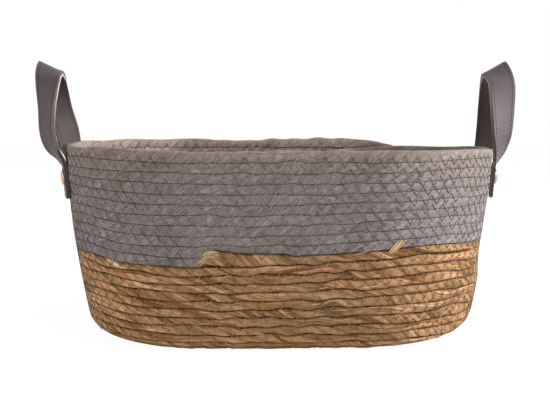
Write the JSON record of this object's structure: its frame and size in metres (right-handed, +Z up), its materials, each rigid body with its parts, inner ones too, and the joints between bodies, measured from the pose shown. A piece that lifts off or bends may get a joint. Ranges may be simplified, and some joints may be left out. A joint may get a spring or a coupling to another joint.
{
  "type": "oval rope basket with strap handles",
  "caption": "Open oval storage basket of sewn coiled rope in two colours, with riveted strap handles that fold outward at its ends.",
  "frame": {"origin": "on the resting plane, under the middle of the basket", "axes": "+X along the basket's length, from the left handle to the right one; +Y from front to back; +Z up"},
  "size_m": [0.4476, 0.2605, 0.2521],
  "materials": {
    "natural_rope": "matt natural fibre",
    "grey_rope": "matt dyed fibre",
    "strap": "smooth grained",
    "lining": "satin",
    "copper": "polished copper colour"
  },
  "bodies": {
    "basket": {"natural_rope": "natural_rope", "grey_rope": "grey_rope", "left_front_strap_tab": "strap", "left_front_lining_tab": "lining", "left_front_rivet_cap": "copper", "left_front_rivet_post": "copper", "left_back_strap_tab": "strap", "left_back_lining_tab": "lining", "left_back_rivet_cap": "copper", "left_back_rivet_post": "copper", "right_front_strap_tab": "strap", "right_front_lining_tab": "lining", "right_front_rivet_cap": "copper", "right_front_rivet_post": "copper", "right_back_strap_tab": "strap", "right_back_lining_tab": "lining", "right_back_rivet_cap": "copper", "right_back_rivet_post": "copper"},
    "left_handle": {"left_strap_loop": "strap", "left_lining_loop": "lining"},
    "right_handle": {"right_strap_loop": "strap", "right_lining_loop": "lining"}
  },
  "joints": [
    {"name": "left_handle_fold", "type": "hinge", "parent": "basket", "child": "left_handle", "pos_m": [-0.20149, 0, 0.15474], "axis": [0, -1, 0], "range_deg": [0, 105]},
    {"name": "right_handle_fold", "type": "hinge", "parent": "basket", "child": "right_handle", "pos_m": [0.20149, 0, 0.15474], "axis": [0, 1, 0], "range_deg": [0, 105]}
  ]
}
